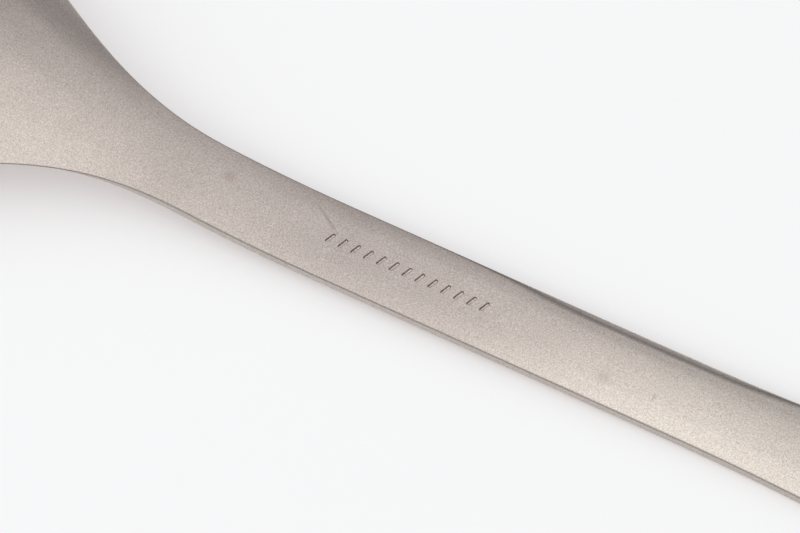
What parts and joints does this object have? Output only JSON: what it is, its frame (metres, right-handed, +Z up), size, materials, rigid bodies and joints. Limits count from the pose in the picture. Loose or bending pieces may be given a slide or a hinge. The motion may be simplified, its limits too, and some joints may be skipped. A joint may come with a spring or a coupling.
{
  "type": "spork",
  "caption": "One-piece metal spork: a dished oval bowl that ends in short tines, a narrow neck and a slim, flat handle with a rounded tail, lying face down.",
  "frame": {"origin": "centre of the footprint on the table that the spork lies on, face down: under the middle of its length and of its width", "axes": "+X along the spork from the tine tips to the tail, +Z up from the table to the back of the bowl, +Y across it"},
  "size_m": [0.165, 0.0378, 0.0151],
  "materials": {
    "blasted_titanium": "matt bead-blasted titanium, warm grey, with a fine even grain"
  },
  "bodies": {
    "root": {"spork": "blasted_titanium"}
  },
  "joints": []
}
